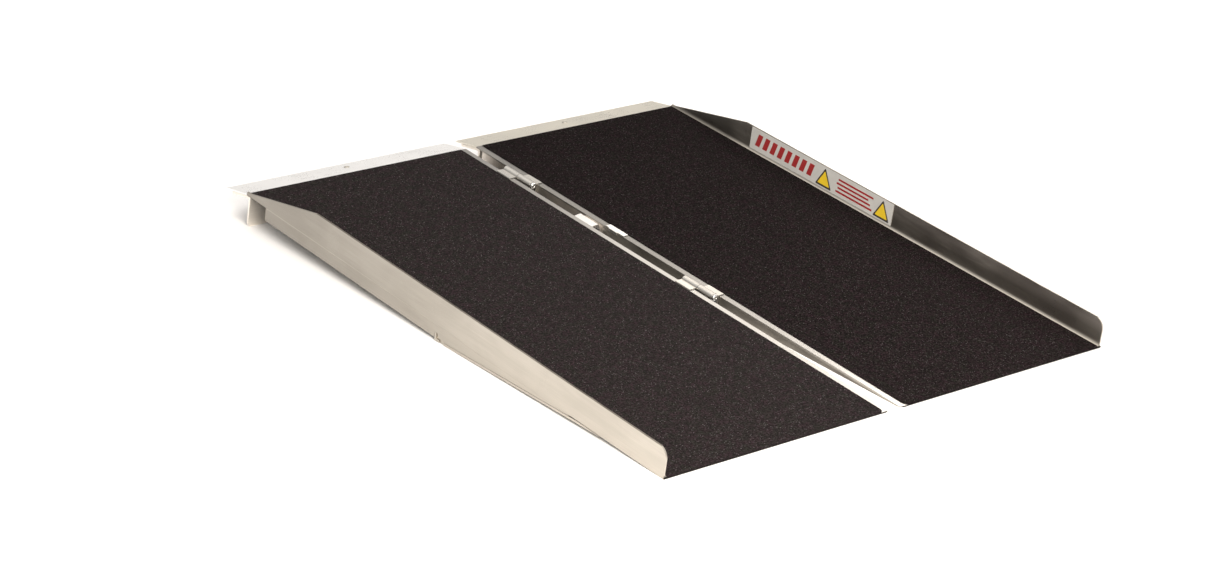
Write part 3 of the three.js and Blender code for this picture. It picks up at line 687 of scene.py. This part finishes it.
def curb_label():
    low, high = span("curb_label")
    low.z -= LABEL_OVER_BEND
    length = high.y - low.y
    depth = high.z - low.z
    bm = bmesh.new()
    materials = [VINYL, RED, YELLOW, BLACK]
    stock = [(low.y, low.z), (high.y, low.z), (high.y, high.z), (low.y, high.z)]
    flat_shape(bm, rounded(stock, LABEL_CORNER), high.x, high.x - low.x, materials.index(VINYL))

    def place(u, v):
        """A point on the label, by its share of the length from the high end and of the depth."""
        return (high.y - u * length, low.z + v * depth)

    def print_shape(outline, ink, layers=1):
        flat_shape(bm, outline, low.x, layers * PRINT_RISE, materials.index(ink))

    for i in range(BARS["count"]):
        near = BARS["start"] + BARS["pitch"] * i
        far = near + BARS["width"]
        slant = BARS["slant"]
        bar = [place(near, BARS["low"]), place(far, BARS["low"])]
        bar += [place(far + slant, BARS["high"]), place(near + slant, BARS["high"])]
        print_shape(rounded(bar, 0.6), RED)
    for middle in TRIANGLES["middles"]:
        for reach, ink, layers in ((1.0, BLACK, 1), (TRIANGLE_FILL, YELLOW, 2)):
            half = TRIANGLES["half"] * reach
            bottom = TRIANGLES["centre"] - TRIANGLES["below"] * reach
            top = TRIANGLES["centre"] + TRIANGLES["above"] * reach
            triangle = [place(middle - half, bottom), place(middle + half, bottom), place(middle, top)]
            print_shape(rounded(triangle, 1.2 * reach), ink, layers)
    for row in range(RULES["count"]):
        start = RULES["start"] + 0.01 * (row % 2)
        end = RULES["end"] - 0.015 * (row % 3)
        low_v = RULES["low"] + RULES["pitch"] * row
        high_v = low_v + RULES["height"]
        print_shape([place(start, low_v), place(end, low_v), place(end, high_v), place(start, high_v)], RED)
    add_piece("curb_label_print", bm, materials, "right_half", ["curb_label"])


# Rivets, pins and push-on nuts.

PIN_HEAD_HEIGHT = 3.1
PIN_SHANK = 0.617  # share of the head's radius


def rivet_profile(head, shank, near, far, dome):
    """A pulled rivet: a domed head with the stub of its mandrel, a shank and a rounded tail."""
    mandrel = 0.3 * head
    rim = 0.22 * dome
    top = [(r, d) for r, d in half_arc(head, dome - rim, near + dome - rim, -1) if r > mandrel]
    profile = [(0, near + 0.35 * dome), (mandrel * 0.85, near + 0.35 * dome), (mandrel, near + 0.02)]
    profile += reversed(top)
    profile += [(head, near + dome), (shank, near + dome), (shank, far - 0.9 * dome)]
    profile += [(0.86 * head, far - 0.9 * dome)]
    profile += half_arc(0.86 * head, 0.9 * dome, far - 0.9 * dome, 1)[1:-1]
    profile += [(0, far)]
    return profile


def rivet(node, turn, body, flipped=False, finish=RIVET):
    """Replaces a CAD rivet whose axis is the y axis of the ramp's frame turned by a matrix.

    Its head is at the low end of that axis, or at the high end when it is flipped.
    """
    low, high = span(node, turn)
    head = (high.x - low.x) / 2
    place = turn @ Matrix.Translation((low + high) / 2)
    if flipped:
        place = place @ Matrix.Rotation(math.pi, 4, "X")
    half = (high.y - low.y) / 2
    dome = 1.35 if head < 4 else 1.45  # the rivets in the lips are the larger ones
    bm = bmesh.new()
    turned(bm, rivet_profile(head, 0.55 * head, -half, half, dome), place, steps=32)
    piece = add_piece(f"{node}_turned", bm, [finish], body, [node])
    smooth(piece)


def hinge_pin(name):
    """A pin with a rounded head that has a shallow centre mark, and a bevelled end."""
    node = f"{name}_hinge_pin"
    low, high = span(node)
    head = (high.x - low.x) / 2
    shank = PIN_SHANK * head
    neck = low.y + PIN_HEAD_HEIGHT
    profile = [(0, low.y + 0.55), (0.2 * head, low.y + 0.45), (0.3 * head, low.y + 0.02)]
    profile += [(0.5 * head, low.y), (0.72 * head, low.y + 0.22), (0.88 * head, low.y + 0.7)]
    profile += [(0.97 * head, low.y + 1.35), (head, low.y + 2.0), (head, neck - 0.25), (0.96 * head, neck)]
    profile += [(shank, neck), (shank, high.y - 0.7), (shank - 0.25, high.y - 0.25), (shank - 0.7, high.y)]
    profile += [(0, high.y)]
    bm = bmesh.new()
    turned(bm, profile, Matrix.Identity(4), steps=48)
    piece = add_piece(f"{node}_turned", bm, [ZINC], "left_half", [node])
    smooth(piece)


def push_nut(name):
    """A dished spring washer whose inner edge is cut into six teeth."""
    node = f"{name}_hinge_push_nut"
    low, high = span(node)
    outer = (high.x - low.x) / 2

    def teeth(radius, angle):
        bite = 0.5 * (1 + math.cos(6 * angle))
        return radius + (0.35 * bite if radius < 0.75 * outer else 0.0)

    inner = 0.6 * outer
    back = low.y
    front = high.y
    profile = [(inner, front - 0.3), (0.8 * outer, back + 0.35), (0.96 * outer, back + 0.3)]
    profile += [(outer, back + 0.15), (0.96 * outer, back), (0.78 * outer, back + 0.02)]
    profile += [(inner, front - 0.6), profile[0]]
    bm = bmesh.new()
    turned(bm, profile, Matrix.Identity(4), steps=48, ripple=teeth)
    piece = add_piece(f"{node}_teeth", bm, [ZINC], "left_half", [node])
    smooth(piece)


# Welds.

BEAD = 1.7  # half a bead's height
BEAD_WIDTH = 1.25  # for a height of 1
BEAD_STEP = 0.55
BEAD_WAVE = 2.1  # from one ripple to the next
SEAM_HEIGHT = 0.28  # between a deck panel and its side rail
SEAM_FACE = 1.1  # the seam is wider at the face, where the edges are eased
SEAM_DEPTH = 0.06
SEAM_ROOT = 1.6  # how far in the weld reaches
SEAM_STEP = 6
CAP_THICKNESS = 1.5
CAP_TOP = -13.0  # heights of the plate's upper edge: its flat part, the end of its slope and its corner
CAP_SLOPE_END = -17.2
CAP_CORNER = -18.4


def weld_runs():
    """First and last points of the beads below the right deck, in groups, in the ramp's frame."""
    low_rail, _ = span("right_side_rail")
    low_rib, high_rib = span("right_rib")
    low_cross, high_cross = span("right_cross_member")
    low_riser, _ = span("right_riser")
    low_strip, _ = span("right_taper_strip")
    under = high_rib.z - 0.25
    aside = 0.4

    def lengthwise(x, start, length, pitch=0, count=1):
        starts = [start + i * pitch for i in range(count)]
        return [((x, y, under), (x, y + length, under)) for y in starts]

    def crosswise(y, start, length, pitch, count):
        starts = [start + i * pitch for i in range(count)]
        return [((x, y, under), (x + length, y, under)) for x in starts]

    return {
        "rail": lengthwise(low_rail.x - aside, low_rail.y + 20, 38, 105, 6),
        "rib": lengthwise(high_rib.x + aside, low_rib.y + 15, 34, 108, 4),
        "cross_member": crosswise(high_cross.y - 3.6, low_cross.x + 20, 36, 92, 4),
        "riser": crosswise(low_riser.y - 0.1, low_riser.x + 16, 44, 96, 4),
        "strip": lengthwise(low_strip.x - aside, low_strip.y + 8, 30),
    }


def weld_bead(bm, start, end, chance):
    """Adds a rippled bead between two points, thick in the middle and rounded off at its ends."""
    start, end = Vector(start), Vector(end)
    along = (end - start).normalized()
    aside = along.cross(Vector((0, 0, 1))).normalized()
    length = (end - start).length
    count = round(length / BEAD_STEP)
    steps = 12
    rings = []
    for i in range(count + 1):
        t = i / count
        taper = math.sqrt(max(0.0, 1 - abs(2 * t - 1) ** 12))
        ripple = 1 + 0.13 * abs(math.sin(math.pi * t * length / BEAD_WAVE)) + 0.05 * chance.random()
        reach = BEAD * ripple * taper
        centre = start + along * (length * t)
        if i in (0, count):
            rings.append([bm.verts.new(centre)])
            continue
        ring = []
        for step in range(steps):
            angle = 2 * math.pi * step / steps
            spot = aside * (BEAD_WIDTH * reach * math.cos(angle)) + Vector((0, 0, reach * math.sin(angle)))
            ring.append(bm.verts.new(centre + spot))
        rings.append(ring)
    bridge(bm, rings)


def weld_beads(word):
    side = SIDES[word]
    chance = random.Random(17 + side)
    for group, runs in weld_runs().items():
        bm = bmesh.new()
        for start, end in runs:
            weld_bead(bm, start, end, chance)
        bmesh.ops.scale(bm, vec=(side, 1, 1), verts=bm.verts)
        piece = add_piece(f"{word}_{group}_welds", bm, [WELD], f"{word}_half")
        smooth(piece, math.radians(60))


def cross_member_cap(word):
    """A thin plate that closes the notch in the side rail, around the cross member's end."""
    side = SIDES[word]
    low, high = span(f"{word}_cross_member")
    _, strip_end = span(f"{word}_taper_strip")
    outer = max(abs(low.x), abs(high.x)) - 1.4
    start = strip_end.y + 1.2
    outline = [(start, low.z + 0.4), (high.y - 0.4, low.z + 0.1), (high.y - 0.4, CAP_TOP)]
    outline += [(high.y - 4.6, CAP_TOP), (start + 0.6, CAP_SLOPE_END), (start, CAP_CORNER)]
    near = [Vector((side * (outer - CAP_THICKNESS), y, z)) for y, z in outline]
    far = [Vector((side * outer, y, z)) for y, z in outline]
    bm = bmesh.new()
    near = [bm.verts.new(spot) for spot in near]
    far = [bm.verts.new(spot) for spot in far]
    bm.faces.new(near)
    rim = bm.faces.new(far[::-1])
    bridge(bm, [near, far])
    bmesh.ops.bevel(bm, geom=list(rim.edges), offset=0.3, segments=3, profile=0.5, affect="EDGES")
    piece = add_piece(f"{word}_cross_member_cap", bm, [MILL], f"{word}_half")
    smooth(piece)


def seam_weld(word):
    """A weld, ground flush, that fills the seam between a deck panel and the side rail below it."""
    side = SIDES[word]
    low, high = span(f"{word}_side_rail")
    outer = max(abs(low.x), abs(high.x)) - SEAM_DEPTH
    inner = outer - SEAM_ROOT
    gap = SEAM_HEIGHT / 2
    middle = high.z + gap
    chance = random.Random(29 + side)
    count = round((high.y - low.y) / SEAM_STEP)
    bm = bmesh.new()
    rings = []
    for i in range(count + 1):
        y = low.y + 1 + (high.y - low.y - 2) * i / count
        face = outer - 0.06 * chance.random()
        corners = [(inner, -gap), (outer - 0.5, -gap), (face, -SEAM_FACE / 2)]
        corners += [(face, SEAM_FACE / 2), (outer - 0.5, gap), (inner, gap)]
        rings.append([bm.verts.new((side * x, y, middle + z)) for x, z in corners])
    bridge(bm, rings)
    bm.faces.new(rings[0])
    bm.faces.new(rings[-1][::-1])
    piece = add_piece(f"{word}_seam_weld", bm, [MILL], f"{word}_half")
    smooth(piece)


ACROSS_LIP = Matrix.Rotation(math.pi / 2 - LIP_ANGLE, 4, "X")
ACROSS_WEB = Matrix.Rotation(-math.pi / 2, 4, "Z")

for word in SIDES:
    grit_tape(word)
    weld_beads(word)
    cross_member_cap(word)
    seam_weld(word)
    rivet(f"{word}_lip_rivet", ACROSS_LIP, f"{word}_half", flipped=True, finish=DULL_RIVET)
    for hinge in ("lower", "upper"):
        for number in (1, 2):
            node = f"{hinge}_hinge_{word}_rivet_{number}"
            rivet(node, ACROSS_WEB, f"{word}_half", flipped=word == "left")
for number in (1, 2):
    rivet(f"stop_bracket_rivet_{number}", ACROSS_WEB, "left_half", flipped=True)
for hinge in ("lower", "upper"):
    hinge_pin(hinge)
    push_nut(hinge)
curb_label()

# ---- stage -----------------------------------------------------------------------------------------

FLOOR_REACH = 14.0
LAMP_COLOUR = (1.0, 0.92, 0.82)
LAMPS = {  # place, aim, size and power
    "key": ((-0.9, -1.7, 1.1), (-0.2, -0.5, 0), (1.2, 1.0), 68),
    "far_side": ((1.5, 0.9, 1.15), (0, -0.25, 0), (1.2, 0.9), 5),
    "low_end": ((0.95, 0.0, 0.6), (0, -0.45, 0), (0.6, 0.4), 3),
    "overhead": ((0.2, 0.8, 2.8), (0.1, 0.3, 0), (2.4, 2.4), 27),
}
WORLD_COLOUR = (1.0, 0.965, 0.925, 1)
WORLD_GLOW = (0.25, 0.65, 0.41, 0.98)  # sines of two heights, and the glow below and above them

CAMERA_PLACE = (-2.68217, -2.85246, 1.65674)
CAMERA_HEADING = 42.456  # degrees from +Y towards +X
CAMERA_DROP = 23.045  # degrees below the horizon
CAMERA_ROLL = 5.773  # degrees, right side up
CAMERA_LENS = 93.359  # mm
CAMERA_SENSOR = 36.0  # mm, its width


def floor_material():
    """A pale matt floor that can be looked through from below."""
    shader = Shader("pale_floor")
    soft = shader.noise((0.9, 0.9, 0.9), detail=2.0)
    paint = shader.mix(shader.fit(soft, 0.3, 0.7), (0.86, 0.87, 0.89), (0.88, 0.89, 0.91))
    shader.set("Base Color", paint)
    shader.set("Roughness", 0.85)
    shader.set("Specular IOR Level", 0.2)
    nodes = shader.tree.nodes
    clear = nodes.new("ShaderNodeBsdfTransparent")
    below = nodes.new("ShaderNodeNewGeometry").outputs["Backfacing"]
    either = nodes.new("ShaderNodeMixShader")
    shader.put(either.inputs[0], below)
    shader.tree.links.new(shader.surface.outputs[0], either.inputs[1])
    shader.tree.links.new(clear.outputs[0], either.inputs[2])
    shader.tree.links.new(either.outputs[0], nodes["Material Output"].inputs["Surface"])
    return shader.material


def add_floor():
    bm = bmesh.new()
    bmesh.ops.create_grid(bm, x_segments=1, y_segments=1, size=FLOOR_REACH)
    mesh = bpy.data.meshes.new("floor")
    bm.to_mesh(mesh)
    bm.free()
    mesh.materials.append(floor_material())
    floor = bpy.data.objects.new("floor", mesh)
    bpy.context.scene.collection.objects.link(floor)


def add_light(name, place, aim, size, power):
    light = bpy.data.lights.new(name, "AREA")
    light.shape = "RECTANGLE"
    light.size, light.size_y = size
    light.energy = power
    light.color = LAMP_COLOUR
    lamp = bpy.data.objects.new(name, light)
    lamp.location = place
    lamp.rotation_euler = (Vector(aim) - Vector(place)).to_track_quat("-Z", "Y").to_euler()
    bpy.context.scene.collection.objects.link(lamp)


def add_world():
    """A pale room that is dimmer near the horizon and brightest overhead."""
    world = bpy.data.worlds.new("studio")
    world.use_nodes = True
    nodes = world.node_tree.nodes
    links = world.node_tree.links
    direction = nodes.new("ShaderNodeTexCoord").outputs["Generated"]
    height = nodes.new("ShaderNodeSeparateXYZ")
    links.new(direction, height.inputs[0])
    glow = nodes.new("ShaderNodeMapRange")
    glow.interpolation_type = "SMOOTHSTEP"
    links.new(height.outputs["Z"], glow.inputs["Value"])
    for socket, number in zip(glow.inputs[1:5], WORLD_GLOW):
        socket.default_value = number
    background = nodes["Background"]
    background.inputs["Color"].default_value = WORLD_COLOUR
    links.new(glow.outputs[0], background.inputs["Strength"])
    bpy.context.scene.world = world


def add_camera():
    lens = bpy.data.cameras.new("camera")
    lens.lens = CAMERA_LENS
    lens.sensor_width = CAMERA_SENSOR
    camera = bpy.data.objects.new("camera", lens)
    heading = Matrix.Rotation(-math.radians(CAMERA_HEADING), 4, "Z")
    drop = Matrix.Rotation(math.radians(90 - CAMERA_DROP), 4, "X")
    roll = Matrix.Rotation(math.radians(CAMERA_ROLL), 4, "Z")
    camera.matrix_world = Matrix.Translation(CAMERA_PLACE) @ heading @ drop @ roll
    bpy.context.scene.collection.objects.link(camera)
    bpy.context.scene.camera = camera


add_floor()
add_world()
for name, lamp in LAMPS.items():
    add_light(name, *lamp)
add_camera()
bpy.context.scene.view_settings.view_transform = "Standard"
